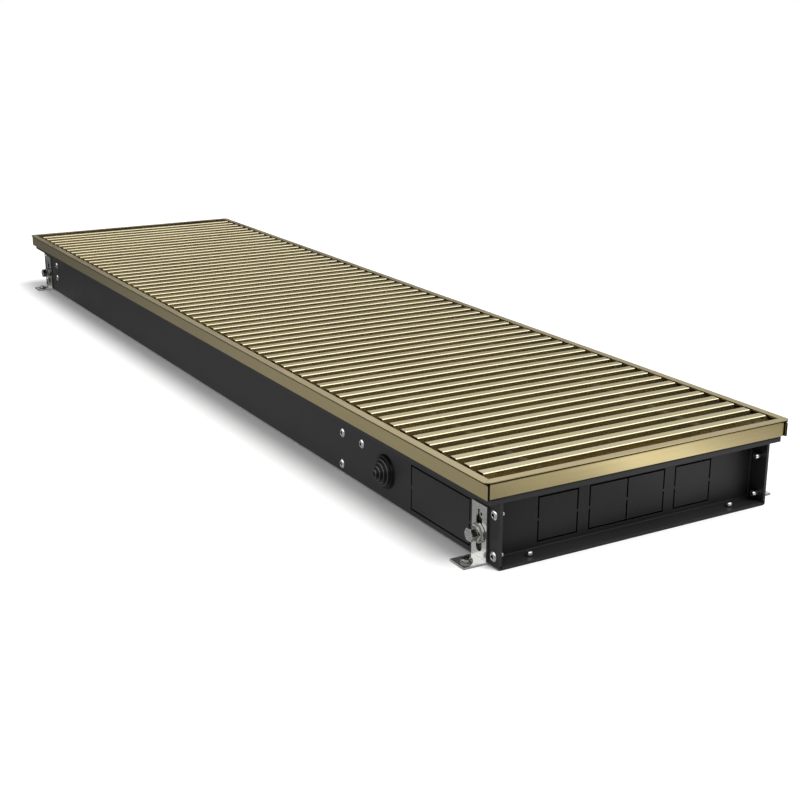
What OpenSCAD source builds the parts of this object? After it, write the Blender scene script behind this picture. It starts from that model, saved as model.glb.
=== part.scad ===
// Trench convector heater: a shallow floor casing with a finned tube heat exchanger, a trim frame,
// four levelling brackets and a transverse grille that rolls up from its near end.
// X runs along the casing, its near end is +X. Z = 0 is the underside of the casing.

/* [Casing] */
// Length of the casing over its ears
casing_len = 992; // [840:8:1600]
// Width of the casing over its long walls
casing_wid = 230.8; // [218:0.2:300]
// Height of the casing to the top of its flange
casing_hgt = 50.9; // [49:0.5:80]
// Thickness of the casing sheet
sheet_t = 1; // [0.8:0.1:1.2]
// Inside radius of the folds in sheet metal
fold_r = 0.5; // [0.3:0.1:1]
// How far the top flange stands out from the long walls
flange_out = 9.3; // [8:0.1:11]
// Height of the turned-down hem, flange included
hem_hgt = 4.4; // [3:0.1:6]
// How far the ears run past the end walls
ear_len = 15.2; // [13:0.1:20]
// Height of the end walls' top edge below the flange's top, at their side folds
end_fold_drop = 3; // [2:0.1:5]

/* [Knock-outs] */
// Width of an end wall knock-out
knock_wid = 32.2; // [28:0.1:34]
// Height of an end wall knock-out
knock_hgt = 31; // [26:0.5:34]
// Height of the knock-outs above the underside
knock_z = 6.3; // [4:0.1:8]
// Land between the middle pair and the outer knock-outs
knock_land = 10.1; // [6:0.1:12]
// Length of the long wall knock-out
side_knock_len = 74; // [60:1:80]
// Height of the long wall knock-out
side_knock_hgt = 32.3; // [26:0.1:34]
// Height of the long wall knock-out above the underside
side_knock_z = 5.1; // [3.5:0.1:8]
// Distance from the ears' ends to the long wall knock-out
side_knock_end = 34.5; // [32:0.5:40]
// Width of the slots cut round a knock-out
knock_slot = 1.3; // [0.8:0.1:1.5]
// Length of the bridges that hold a knock-out
knock_bridge = 1.8; // [1:0.1:3]

/* [Trim] */
// Height of the trim above the flange
trim_hgt = 12.2; // [12:0.1:15]
// How far the rim stands out past the flange at the sides
trim_side_out = 5; // [4:0.1:7]
// How far the rim stands out past the hem at the ends
trim_end_out = 3; // [2.8:0.1:5]
// Width of the rim seen from above
rim_wid = 6; // [5.6:0.1:6.4]
// Thickness of the rim
rim_t = 1.2; // [1:0.1:1.6]
// How far the rim overhangs the trim's outer wall
rim_over = 1.9; // [1.5:0.1:2.2]
// Height of the rim's outer edge
rim_edge = 0.5; // [0.4:0.1:0.8]
// Height of the groove below the rim's outer edge
groove_hgt = 1; // [0.5:0.1:1.2]
// Depth of that groove from the rim's outer edge
groove_deep = 1.6; // [1.2:0.1:2]
// Distance from the rim's outer edge to the slant below the groove
slant_in = 0.8; // [0.5:0.1:1]
// Height of that slant
rim_slant = 1; // [0.8:0.1:2]
// Radius of the rim's outer corners in plan
rim_corner_r = 4; // [1:0.1:5]
// Thickness of the trim's outer wall
trim_wall_t = 1.6; // [1.2:0.1:2]
// Thickness of the ledge that lies on the flange
ledge_t = 1.4; // [1:0.1:1.8]
// Height of the lip along the inner edge of the ledge
ledge_lip_hgt = 0.6; // [0.4:0.1:0.8]
// Thickness of that lip
ledge_lip_t = 1; // [0.8:0.1:1.4]
// Gap between the end trim and the side trims' walls
trim_corner_gap = 1; // [0.6:0.1:1.6]
// Distance from the rim's outer edge to the side trims' cut ends
trim_cut_back = 0.6; // [0.4:0.1:1.2]

/* [Grille] */
// Pitch of the slats
slat_pitch = 16; // [14:0.5:18]
// Width of a slat
slat_wid = 8; // [7:0.1:9]
// Height of a slat
slat_hgt = 9.5; // [9:0.1:9.5]
// Wall thickness of the hollow slats
slat_wall = 1.1; // [0.8:0.1:1.4]
// Bevel along the slats' top edges
slat_bevel = 0.8; // [0.4:0.1:1]
// Gap between the slats' ends and the rim
slat_end_gap = 1.7; // [1.5:0.1:2.4]
// Least gap between an end slat and the rim
slat_rim_gap = 7; // [5:0.5:9]
// Thickness of the rubber strips below the slats' ends
seal_t = 0.8; // [0.5:0.1:0.9]
// Width of the rubber strips
seal_wid = 4; // [3:0.1:4.2]
// Distance of each grille spring from the middle of the casing
spring_y = 75; // [50:1:85]
// Outside radius of a grille spring
spring_r = 1.6; // [1.4:0.1:1.8]
// Bore radius of a grille spring
spring_bore_r = 0.9; // [0.6:0.1:1]
// Height of the springs' axis above the slats' underside
spring_z = 3.4; // [3.2:0.1:3.8]
// Outside radius of a spacer bush
bush_r = 2.6; // [2.3:0.1:2.9]
// Length of the stops on the springs' ends
spring_stop_len = 3; // [2:0.1:4]

/* [Heat exchanger] */
// Outside radius of the copper tubes
tube_r = 7.5; // [6:0.1:7.6]
// Wall thickness of the copper tubes
tube_wall = 1; // [0.7:0.1:1.2]
// Distance between neighbouring tubes
tube_pitch = 37.5; // [34:0.5:38]
// Height of the tubes' axes above the underside
tube_z = 23; // [22.5:0.1:24]
// Width of a fin
fin_wid = 150; // [146:1:156]
// Height of a fin
fin_hgt = 37; // [30:1:38]
// Thickness of a fin
fin_t = 0.5; // [0.4:0.1:0.8]
// Pitch of the fins
fin_pitch = 7; // [6:0.5:10]
// Thickness of the support plates
support_t = 1.2; // [1:0.1:1.6]
// Gap between the support plates' top and the spreader bar above them
support_top_gap = 3.5; // [1:0.1:5]
// Height of the near support's riveted feet
support_foot_hgt = 18; // [12:0.5:20]
// Length of the supports' riveted folds
support_fold_len = 11; // [10:0.5:14]
// Radial thickness of the rubber rings in the supports
ring_t = 1.5; // [1:0.1:2]
// Height of the rubber rings' flanges
ring_flange = 1.5; // [1:0.1:2]
// Thickness of the rubber rings' flanges
ring_flange_t = 1; // [0.8:0.1:1.4]
// Width of the spreader bar
spreader_wid = 46; // [44:1:50]
// Gap between the near support's feet and the spreader bar's riveted ends
spreader_foot_gap = 6.9; // [2:0.1:8]
// Thickness of the spreader bar
spreader_t = 1.5; // [1.2:0.1:2]

/* [Connections] */
// Bore radius of the fittings' internal thread
thread_r = 9.3; // [9.3:0.1:9.6]
// Length of the fittings' internal thread
thread_len = 15; // [13:0.5:17]
// Width of the fittings across their flats
fitting_flats = 24; // [23:0.5:25]
// Length of the fittings' hexagon
fitting_hex_len = 26; // [24:0.5:28]
// Length of the fittings' neck
fitting_neck_len = 9; // [7:0.5:12]
// Wall thickness of the fittings' neck
fitting_wall = 2; // [1.5:0.1:3]
// Radius of the vent body
vent_r = 5; // [4.5:0.1:5.5]
// Height of the vent body
vent_hgt = 6; // [5:0.1:6.5]
// Radius of the vent screw
vent_screw_r = 2.5; // [2:0.1:2.8]
// Height of the vent screw above its body
vent_screw_head = 2.5; // [2:0.1:3]

/* [Cable grommet] */
// Distance from the ears' ends to the grommet
grommet_end = 145; // [135:1:160]
// Height of the grommet above the underside
grommet_z = 21.4; // [18:0.2:24]
// Radius of the grommet's widest step
grommet_r = 12.8; // [11:0.1:13.5]
// Radius of the grommet's tip
grommet_tip_r = 3.6; // [2.5:0.1:4.5]
// How far the grommet stands out of the wall
grommet_out = 9.6; // [8:0.1:12]
// Number of steps in the grommet
grommet_steps = 5; // [3:1:7]

/* [Levelling] */
// Distance from the ears' ends to the middle of a levelling bracket
bracket_end = 21; // [20:0.1:22]
// Width of a levelling bracket
bracket_wid = 17; // [16:0.1:19]
// Height of a levelling bracket
bracket_hgt = 39.4; // [37:0.2:39.6]
// Thickness of a levelling bracket
bracket_t = 1.4; // [1.2:0.1:2]
// Length of the bracket's foot, plate included
foot_len = 18; // [16:0.1:22]
// Height of the slot's lower end
slot_low = 6.4; // [5:0.1:8]
// Height of the slot's upper end
slot_high = 35.4; // [32:0.2:36]
// Radius of the clamping bolts
bolt_r = 3; // [2.5:0.1:3]
// Height of the clamping bolts above the underside
bolt_z = 19.4; // [18:0.2:21]
// Width of the bolt heads across their flats
bolt_flats = 8.5; // [8:0.5:10]
// Height of a bolt head
bolt_head_hgt = 4.4; // [3:0.1:5]
// Width of the lock nuts across their flats
nut_flats = 10; // [9:0.5:11]
// Thickness of the lock nuts
nut_hgt = 2.2; // [2:0.1:3.2]
// Thickness of the washers
washer_t = 1.2; // [1:0.1:1.6]
// Radius of the washers
washer_r = 7; // [6:0.1:7.4]
// Length of the threaded inserts
insert_len = 11; // [9:0.5:13]
// Radius of the threaded inserts
insert_r = 4; // [3.7:0.1:4]
// Distance from the bracket's back to the foot screw
foot_screw_out = 10.6; // [10:0.1:12]
// Radius of the foot screw's shank
foot_screw_r = 2.4; // [2:0.1:2.6]
// Radius of the foot screw's head
foot_screw_head_r = 4.2; // [3.8:0.1:4.4]
// Height of the foot screw's head
foot_screw_head_hgt = 2.2; // [1.8:0.1:2.4]

/* [Rivets] */
// Radius of the rivets' shanks
rivet_r = 2; // [1.6:0.1:2.2]
// Radius of the rivets' heads
rivet_head_r = 3.4; // [3:0.1:3.6]
// Height of the rivets' heads
rivet_head_hgt = 1.2; // [1:0.1:1.4]
// Length of the rivets' upset tails
rivet_tail_len = 3; // [2.6:0.1:4]
// Distance from the ears' ends to the ear rivets
ear_rivet_end = 6.6; // [6:0.1:8]
// Height of the lower ear rivets
ear_rivet_low = 7.5; // [6:0.1:8]
// Height of the upper ear rivets
ear_rivet_high = 35.9; // [33:0.1:37]
// Distance of the bottom rivets from the middle of the casing
bottom_rivet_y = 87; // [80:1:90]

/* [Hidden] */
$fn = 48;
// Number of slats at the near end that hinge one by one
roll_count = 10;
// Half of the number of tubes, so that each half mirrors the other
half_tubes = 2;
// Points in one rounded fold
fold_steps = 3;
// Overrun that all cuts share
over = 1;
// Gap between pieces of one body that are pressed or soldered together
press_gap = 0.05;
// Gap between pieces that slide or lift past each other
slide_gap = 0.3;
// Gap between the slats and the rubber strips they rest on
seat_gap = 0.2;
// Play at the ends of the bushes
bush_play = 0.1;
// Gap between a turning screw and its bore
turn_gap = 0.05;

near = casing_len / 2;
side = casing_wid / 2;
wall_in = side - sheet_t;
flange_edge = side + flange_out;
hem_end = near + sheet_t;
end_face = near - ear_len;
trim_len = 2 * (hem_end + trim_end_out);
trim_wid = 2 * (flange_edge + trim_side_out);
trim_top = casing_hgt + trim_hgt;
ledge_in = trim_side_out + flange_out;
rim_inner_x = trim_len / 2 - rim_wid;
rim_inner_y = trim_wid / 2 - rim_wid;

slat_len = 2 * (rim_inner_y - slat_end_gap);
slat_count = floor((2 * (rim_inner_x - slat_rim_gap) - slat_wid) / slat_pitch) + 1;
main_count = slat_count - roll_count;
slat_gap = slat_pitch - slat_wid;
slat_z = casing_hgt + ledge_t + seal_t + seat_gap;
spring_axis_z = slat_z + spring_z;
bush_len = slat_gap - bush_play;
grille_start = -(slat_count - 1) / 2 * slat_pitch - slat_wid / 2;

// Riveted holes in the long walls, as places from the ears' ends and heights
spreader_end = 195;
spreader_rivet_gap = 30;
spreader_rivet_rise = 6;
near_foot_rivet_end = 211;
near_foot_rivet_z = 6.9;
far_rivet_end = 50;
far_rivet_low = 17.9;
far_rivet_high = 32.9;

spreader_x = near - spreader_end;
spreader_top = casing_hgt - end_fold_drop - hem_hgt + spreader_t;
support_top = spreader_top - spreader_t - support_top_gap;
spreader_low = sheet_t + press_gap + support_foot_hgt + spreader_foot_gap;
spreader_rivet_z = spreader_low + spreader_rivet_rise;
near_support_x = near - near_foot_rivet_end - support_fold_len / 2;
far_support_x = -near + far_rivet_end + support_fold_len / 2;
fin_end_gap = 8;
fins_near_x = near_support_x - fin_end_gap;
fins_far_x = far_support_x + fin_end_gap;
fin_count = floor((fins_near_x - fins_far_x - fin_t) / fin_pitch) + 1;
bend_r = tube_pitch / 2;
bend_out = bend_r + tube_r;
bend_end_gap = 2.6;
far_tube_x = -end_face + sheet_t + bend_end_gap + bend_out;
// Straight run of the inner tubes past the near support
near_bend_run = 9;
near_bend_x = near_support_x + near_bend_run;
// Distance from the ears' ends to the ends of the outer tubes
tube_end = 166;
tube_end_x = near - tube_end;
tube_stop = 2;
ring_seat_r = tube_r + ring_t;
// Gap between the fins and the tubes that are pressed through them
hole_play = 0.1;
// Height that the far support's folds reach past its rivets
far_fold_margin = 7;

vent_x = tube_end_x + tube_stop + fitting_hex_len / 2;
vent_y = tube_pitch * (half_tubes - 0.5);
vent_z = tube_z + fitting_flats / 2 + press_gap;
vent_floor = 1.5;
vent_slot_wid = 0.8;
vent_slot_deep = 1;

bracket_x = near - bracket_end;
bracket_back = side + slide_gap;
bracket_face = bracket_back + bracket_t;
slot_half = bolt_r + slide_gap;
foot_screw_y = bracket_back + foot_screw_out;
grommet_x = near - grommet_end;
grommet_neck_share = 0.74;
grommet_flange_t = 2;
insert_head_t = 0.3;

// Places of the end wall knock-outs across the casing, in knock-out widths
knock_shares = [-1.5, -0.5, 0.5, 1.5];
// Bore of a rivet's head as a share of the head
mandrel_share = 0.25;
// Socket of a foot screw, and height of its head's edge, as shares of the head
socket_share = 0.5;
head_edge_share = 0.35;
// Steps in the rounding of rivet and screw heads
dome_steps = 4;
key_t = 1.2;
key_leg = 22;
key_hgt = 6;

// Middle of slat number i, counted from the far end
function slat_x(i) = (i - (slat_count - 1) / 2) * slat_pitch;

function unit(v) = v / norm(v);
function turned(v) = [-v.y, v.x];

// Points of the arc that rounds the corner b between a and c
function corner_arc(a, b, c, r) =
    let (
        u = unit(a - b),
        w = unit(c - b),
        half = acos(u * w) / 2,
        mid = b + unit(u + w) * r / sin(half),
        from = b + u * r / tan(half) - mid,
        start = atan2(from.y, from.x),
        sweep = sign(cross(u, w)) * (2 * half - 180))
    [for (k = [0 : fold_steps]) let (t = start + sweep * k / fold_steps) mid + r * [cos(t), sin(t)]];

// A path with its inner corners rounded
function folded(p, r) = [
    for (i = [0 : len(p) - 1])
        each i == 0 || i == len(p) - 1 ? [p[i]] : corner_arc(p[i - 1], p[i], p[i + 1], r)];

// Mitred normal of a path at point i
function path_normal(p, i) =
    let (
        a = turned(unit(i == 0 ? p[1] - p[0] : p[i] - p[i - 1])),
        b = turned(unit(i == len(p) - 1 ? p[i] - p[i - 1] : p[i + 1] - p[i])))
    (a + b) / (1 + a * b);

// Outline of a folded sheet of thickness t whose middle follows the path p
module folded_sheet(p, t) {
    q = folded(p, fold_r + t / 2);
    last = len(q) - 1;
    polygon(concat(
        [for (i = [0 : last]) q[i] + path_normal(q, i) * t / 2],
        [for (i = [last : -1 : 0]) q[i] - path_normal(q, i) * t / 2]));
}

// Lays an outline drawn in Y and Z along X, centred on the middle
module along_x(len) {
    rotate([90, 0, 90]) linear_extrude(len, center = true) children();
}

// Lays an outline drawn in X and Z along Y, centred on the middle
module along_y(len) {
    rotate([90, 0, 0]) linear_extrude(len, center = true) children();
}

// A box between two corners
module block(low, high) {
    translate(low) cube(high - low);
}

module ring(r, bore, len) {
    linear_extrude(len) difference() {
        circle(r);
        circle(bore);
    }
}

// Turns a shape that points up so that it points along +X or out of the left wall
module to_x() {
    rotate([0, 90, 0]) children();
}
module to_left() {
    rotate([90, 0, 0]) children();
}

// Repeats a shape of the near left corner at all four corners
module at_corners() {
    for (x = [0, 1], y = [0, 1]) mirror([x, 0, 0]) mirror([0, y, 0]) children();
}

// Hexagonal prism, chamfered at its free end
module hexagon(flats, hgt) {
    corner_r = flats / sqrt(3);
    chamfer = corner_r - flats / 2;
    intersection() {
        cylinder(hgt, r = corner_r, $fn = 6);
        cylinder(hgt, r1 = corner_r + hgt - chamfer / 2, r2 = corner_r - chamfer / 2);
    }
}

// Blind rivet along +Z with its head seated at Z = 0 and its tail below a grip
module rivet(grip) {
    bore = rivet_head_r * mandrel_share;
    tail_r = rivet_r + slide_gap;
    dome = [for (k = [0 : dome_steps]) let (a = 90 * k / dome_steps)
        [bore + (rivet_head_r - bore) * cos(a), rivet_head_hgt * sin(a)]];
    rotate_extrude() polygon(concat(
        dome,
        [[bore, -bore], [0, -bore], [0, -grip - rivet_tail_len]],
        [[rivet_r, -grip - rivet_tail_len], [tail_r, -grip - rivet_r], [tail_r, -grip]],
        [[rivet_r - press_gap, -grip], [rivet_r - press_gap, 0]]));
}

// Slots round a knock-out drawn flat, with a bridge in the middle of each upright slot
module knock_slots(wid, hgt) {
    for (z = [0, hgt]) translate([0, z]) square([wid + knock_slot, knock_slot], center = true);
    for (x = [-wid / 2, wid / 2]) translate([x, hgt / 2]) difference() {
        square([knock_slot, hgt + knock_slot], center = true);
        square([knock_slot + over, knock_bridge], center = true);
    }
}

// Rivets in the long walls: place along the casing, height, and thickness of what they hold inside
function long_wall_rivets() = [
    [near - near_foot_rivet_end, near_foot_rivet_z, press_gap + support_t],
    [spreader_x + spreader_rivet_gap / 2, spreader_rivet_z, spreader_t],
    [spreader_x - spreader_rivet_gap / 2, spreader_rivet_z, spreader_t],
    [-near + far_rivet_end, far_rivet_low, press_gap + support_t],
    [-near + far_rivet_end, far_rivet_high, press_gap + support_t]];

function ear_rivets() = [[near - ear_rivet_end, ear_rivet_low], [near - ear_rivet_end, ear_rivet_high]];

module long_wall_hole(place, r) {
    translate([place.x, over - wall_in, place.y]) to_left() cylinder(sheet_t + 2 * over, r = r);
}

module casing_tray() {
    half = [
        [flange_edge - sheet_t / 2, casing_hgt - hem_hgt],
        [flange_edge - sheet_t / 2, casing_hgt - sheet_t / 2],
        [side - sheet_t / 2, casing_hgt - sheet_t / 2],
        [side - sheet_t / 2, sheet_t / 2]];
    path = concat(half, [for (i = [len(half) - 1 : -1 : 0]) [-half[i].x, half[i].y]]);
    color("#1d1e20") difference() {
        along_x(2 * hem_end) folded_sheet(path, sheet_t);
        // The walls and the bottom end at the ears, only the flange runs on to the end walls' hems
        for (x = [0, 1]) mirror([x, 0, 0]) block(
            [near, -side - fold_r, -over],
            [hem_end + over, side + fold_r, casing_hgt - sheet_t - fold_r]);
        for (y = [0, 1]) mirror([0, y, 0]) {
            for (p = long_wall_rivets()) long_wall_hole(p, rivet_r);
            for (x = [0, 1], p = ear_rivets()) mirror([x, 0, 0]) long_wall_hole(p, rivet_r);
            for (x = [0, 1]) mirror([x, 0, 0]) long_wall_hole([bracket_x, bolt_z], insert_r);
            translate([near - side_knock_end - side_knock_len / 2, over - wall_in, side_knock_z])
                rotate([90, 0, 0]) linear_extrude(sheet_t + 2 * over)
                knock_slots(side_knock_len, side_knock_hgt);
        }
        long_wall_hole([grommet_x, grommet_z], grommet_r * grommet_neck_share);
        for (x = [-1, 1], y = [-1, 1])
            translate([x * (near - ear_rivet_end), y * bottom_rivet_y, -over])
            cylinder(sheet_t + 2 * over, r = rivet_r);
    }
}

module end_wall() {
    mid = end_face - sheet_t / 2;
    floor_mid = 1.5 * sheet_t + press_gap;
    fold_out = fold_r + sheet_t;
    edge = wall_in - press_gap;
    upright = [
        [hem_end - sheet_t / 2, casing_hgt - hem_hgt],
        [hem_end - sheet_t / 2, casing_hgt - sheet_t / 2],
        [mid, casing_hgt - sheet_t / 2],
        [mid, floor_mid],
        [near, floor_mid]];
    plan = [
        [near, -edge + sheet_t / 2],
        [mid, -edge + sheet_t / 2],
        [mid, edge - sheet_t / 2],
        [near, edge - sheet_t / 2]];
    low = floor_mid + fold_out;
    color("#1d1e20") difference() {
        union() {
            along_y(2 * (edge - fold_out)) folded_sheet(upright, sheet_t);
            translate([0, 0, low])
                linear_extrude(casing_hgt - end_fold_drop - low) folded_sheet(plan, sheet_t);
            block(
                [near, -(flange_edge - sheet_t - press_gap), casing_hgt - hem_hgt],
                [hem_end, flange_edge - sheet_t - press_gap, casing_hgt - fold_out]);
        }
        for (y = knock_shares)
            translate([end_face + over, y * knock_wid + sign(y) * (abs(y) > 1 ? knock_land : 0), knock_z])
            rotate([90, 0, -90]) linear_extrude(sheet_t + 2 * over) knock_slots(knock_wid, knock_hgt);
        for (y = [0, 1], p = ear_rivets()) mirror([0, y, 0])
            translate([p.x, -edge + sheet_t + over, p.y]) to_left()
            cylinder(sheet_t + 2 * over, r = rivet_r);
        for (y = [-1, 1]) translate([near - ear_rivet_end, y * bottom_rivet_y, 0])
            cylinder(floor_mid + sheet_t + over, r = rivet_r);
    }
}

module end_rivets() {
    color("#d9dadb") at_corners() {
        for (p = ear_rivets()) translate([p.x, -side, p.y]) to_left() rivet(2 * sheet_t + press_gap);
        translate([near - ear_rivet_end, -bottom_rivet_y, 0]) bottom_rivet();
    }
}

// Rivet through the bottom, set from below with a flush head, its upset tail standing up inside
module bottom_rivet() {
    grip = 2 * sheet_t + press_gap;
    tail_r = rivet_r + slide_gap;
    shank_r = rivet_r - press_gap;
    rotate_extrude() polygon([
        [0, 0],
        [shank_r, 0],
        [shank_r, grip],
        [tail_r, grip],
        [tail_r, grip + rivet_tail_len - slide_gap],
        [shank_r, grip + rivet_tail_len],
        [0, grip + rivet_tail_len]]);
}

module bracket_rivets() {
    color("#d9dadb") for (y = [0, 1]) mirror([0, y, 0])
        for (p = long_wall_rivets()) translate([p.x, -side, p.y]) to_left() rivet(sheet_t + p.z);
}

module cable_grommet() {
    neck_r = grommet_r * grommet_neck_share;
    rise = grommet_out / grommet_steps;
    drop = (grommet_r - grommet_tip_r) / (grommet_steps - 1);
    skin = rise / 2;
    lip = drop / 4;
    inside = -sheet_t - grommet_flange_t - press_gap;
    steps = [for (k = [0 : grommet_steps - 1], s = [0, 1])
        [grommet_r - drop * k - s * lip, rise * (k + s)]];
    bore = [for (k = [grommet_steps - 1 : -1 : 1]) [grommet_r - drop * k - rise, rise * k - skin]];
    color("#161617") translate([grommet_x, -side - press_gap, grommet_z]) to_left() rotate_extrude()
        polygon(concat(
            [[neck_r - press_gap, 0]],
            steps,
            [[0, grommet_out], [0, grommet_out - skin]],
            [for (p = bore) [max(p.x, skin), p.y]],
            [[neck_r - rise, 0], [neck_r - rise, inside]],
            [[grommet_r - lip, inside], [grommet_r - lip, -sheet_t - press_gap]],
            [[neck_r - press_gap, -sheet_t - press_gap]]));
}

module spreader_bar() {
    edge = wall_in - spreader_t / 2;
    color("#26272a") difference() {
        translate([spreader_x, 0, 0]) along_x(spreader_wid) folded_sheet([
            [-edge, spreader_low],
            [-edge, spreader_top - spreader_t / 2],
            [edge, spreader_top - spreader_t / 2],
            [edge, spreader_low]], spreader_t);
        for (y = [0, 1], p = long_wall_rivets()) mirror([0, y, 0]) if (p.y == spreader_rivet_z)
            translate([p.x, over - edge, p.y]) to_left() cylinder(spreader_t + 2 * over, r = rivet_r);
    }
}

// Plan of one trim profile laid along X at the left side, cut at 45 degrees at both ends
module mitre_plan(len, depth) {
    linear_extrude(2 * trim_top) polygon([
        [-len / 2 + press_gap, 0],
        [len / 2 - press_gap, 0],
        [len / 2 - press_gap - depth, depth],
        [-len / 2 + press_gap + depth, depth]]);
}

// Rounded plan of the whole rim
module rim_plan() {
    r = rim_corner_r;
    linear_extrude(2 * trim_top) {
        square([trim_len - 2 * r, trim_wid], center = true);
        square([trim_len, trim_wid - 2 * r], center = true);
        for (x = [-1, 1], y = [-1, 1])
            translate([x * (trim_len / 2 - r), y * (trim_wid / 2 - r)]) circle(r);
    }
}

// Outlines of the trim's parts, drawn from the rim's outer edge inwards and from the flange up
module rim_outline() {
    edge = trim_hgt - rim_edge;
    polygon([
        [0, edge],
        [groove_deep, edge],
        [groove_deep, edge - groove_hgt],
        [slant_in, edge - groove_hgt],
        [rim_over, edge - groove_hgt - rim_slant],
        [rim_over + trim_wall_t, edge - groove_hgt - rim_slant],
        [rim_over + trim_wall_t, trim_hgt - rim_t],
        [rim_wid, trim_hgt - rim_t],
        [rim_wid, trim_hgt],
        [0, trim_hgt]]);
}
module wall_outline() {
    translate([rim_over, 0]) square([trim_wall_t, trim_hgt - rim_edge - groove_hgt - rim_slant]);
}
module ledge_outline() {
    start = rim_over + trim_wall_t / 2;
    translate([start, 0]) square([ledge_in - start, ledge_t]);
    translate([ledge_in - ledge_lip_t, 0]) square([ledge_lip_t, ledge_t + ledge_lip_hgt]);
}

// One trim profile along the left side of a frame of the given length and width
module trim_profile(len, wall_len) {
    intersection() {
        translate([0, 0, casing_hgt]) along_x(len) children(0);
        mitre_plan(len, ledge_in + over);
    }
    translate([0, 0, casing_hgt]) along_x(wall_len) children(1);
    intersection() {
        translate([0, 0, casing_hgt]) along_x(wall_len) children(2);
        mitre_plan(len, ledge_in + over);
    }
}

module trim_side() {
    color("#b9ad86") intersection() {
        translate([0, -trim_wid / 2, 0]) trim_profile(trim_len, trim_len - 2 * trim_cut_back) {
            rim_outline();
            wall_outline();
            ledge_outline();
        }
        rim_plan();
    }
}

module trim_end() {
    inner_wid = trim_wid - 2 * (rim_over + trim_wall_t);
    color("#b9ad86") intersection() {
        translate([trim_len / 2, 0, 0]) rotate([0, 0, 90])
            trim_profile(trim_wid, inner_wid - 2 * trim_corner_gap) {
                rim_outline();
                wall_outline();
                ledge_outline();
            }
        rim_plan();
    }
}

module trim_corner_keys() {
    z = casing_hgt + ledge_t + press_gap;
    x = trim_len / 2 - rim_over - trim_wall_t - press_gap;
    y = trim_wid / 2 - rim_over - trim_wall_t - press_gap;
    color("#9a9b9d") at_corners() {
        block([x - key_leg, -y, z], [x, key_t - y, z + key_hgt]);
        block([x - key_t, -y, z], [x, key_leg - y, z + key_hgt]);
    }
}

module grille_seals() {
    y = slat_len / 2 - seal_wid / 2;
    z = casing_hgt + ledge_t;
    len = (slat_count - 1) * slat_pitch + slat_wid;
    color("#141414") for (s = [-1, 1])
        block([-len / 2, s * y - seal_wid / 2, z], [len / 2, s * y + seal_wid / 2, z + seal_t]);
}

// One hollow slat at a place along X
module slat(x) {
    b = slat_bevel;
    w = slat_wid / 2;
    difference() {
        translate([x, 0, slat_z]) along_y(slat_len) difference() {
            polygon(concat(
                [[-w, 0], [w, 0], [w, slat_hgt - b]],
                [[w - b, slat_hgt], [b - w, slat_hgt], [-w, slat_hgt - b]]));
            translate([slat_wall - w, slat_wall])
                square([slat_wid - 2 * slat_wall, slat_hgt - 2 * slat_wall]);
        }
        for (s = [-1, 1]) translate([x - w - over, s * spring_y, spring_axis_z]) to_x()
            cylinder(slat_wid + 2 * over, r = spring_r + press_gap);
    }
}

module spring_piece(x, len) {
    for (s = [-1, 1]) translate([x, s * spring_y, spring_axis_z]) to_x() ring(spring_r, spring_bore_r, len);
}

module bush_pair(x, len) {
    for (s = [-1, 1]) translate([x, s * spring_y, spring_axis_z]) to_x()
        ring(bush_r, spring_r + press_gap, len);
}

module grille_slats() {
    color("#c2b48c") for (i = [0 : main_count - 1]) slat(slat_x(i));
}

module grille_springs() {
    x = grille_start - spring_stop_len;
    color("#8f9193") spring_piece(x, slat_x(main_count) - slat_wid / 2 - bush_play - x);
}

module grille_bushes() {
    color("#2a2a2a") {
        for (i = [0 : main_count - 1]) bush_pair(slat_x(i) + slat_wid / 2, bush_len);
        bush_pair(grille_start - spring_stop_len, spring_stop_len);
    }
}

module roll_slat(k) {
    color("#c2b48c") slat(slat_x(main_count + k - 1));
}

// Bushes and spring stretches that travel with slat k, and stops on the last one
module roll_link(k) {
    x = slat_x(main_count + k - 1);
    out = k < roll_count ? bush_len : spring_stop_len;
    color("#2a2a2a") {
        bush_pair(x + slat_wid / 2, out);
        spring_piece(x - slat_wid / 2, slat_wid + out);
    }
}

// Tube centres across the casing
function tube_ys() = [for (i = [0 : 2 * half_tubes - 1]) (i - half_tubes + 0.5) * tube_pitch];
function tube_near_x(y) = abs(y) > tube_pitch ? tube_end_x : near_bend_x;

module tube_section() {
    difference() {
        circle(tube_r);
        circle(tube_r - tube_wall);
    }
}

module copper_tubes() {
    color("#b87345") for (y = tube_ys()) translate([far_tube_x, y, tube_z]) to_x()
        ring(tube_r, tube_r - tube_wall, tube_near_x(y) - far_tube_x);
}

// Half circle of tube that joins the tubes at y - bend_r and y + bend_r
module return_bend(x, y, turn) {
    translate([x, y, tube_z]) rotate([0, 0, turn])
        rotate_extrude(angle = 180) translate([bend_r, 0]) tube_section();
}

module return_bends() {
    color("#b87345") {
        for (s = [-1, 1]) return_bend(far_tube_x - press_gap, s * tube_pitch, 90);
        return_bend(near_bend_x + press_gap, 0, -90);
    }
}

module fins() {
    color("#c9ccd0") for (i = [0 : fin_count - 1])
        translate([fins_far_x + i * fin_pitch, 0, tube_z]) rotate([90, 0, 90]) linear_extrude(fin_t)
        difference() {
            square([fin_wid, fin_hgt], center = true);
            for (y = tube_ys()) translate([y, 0]) circle(tube_r + hole_play);
        }
}

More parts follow.
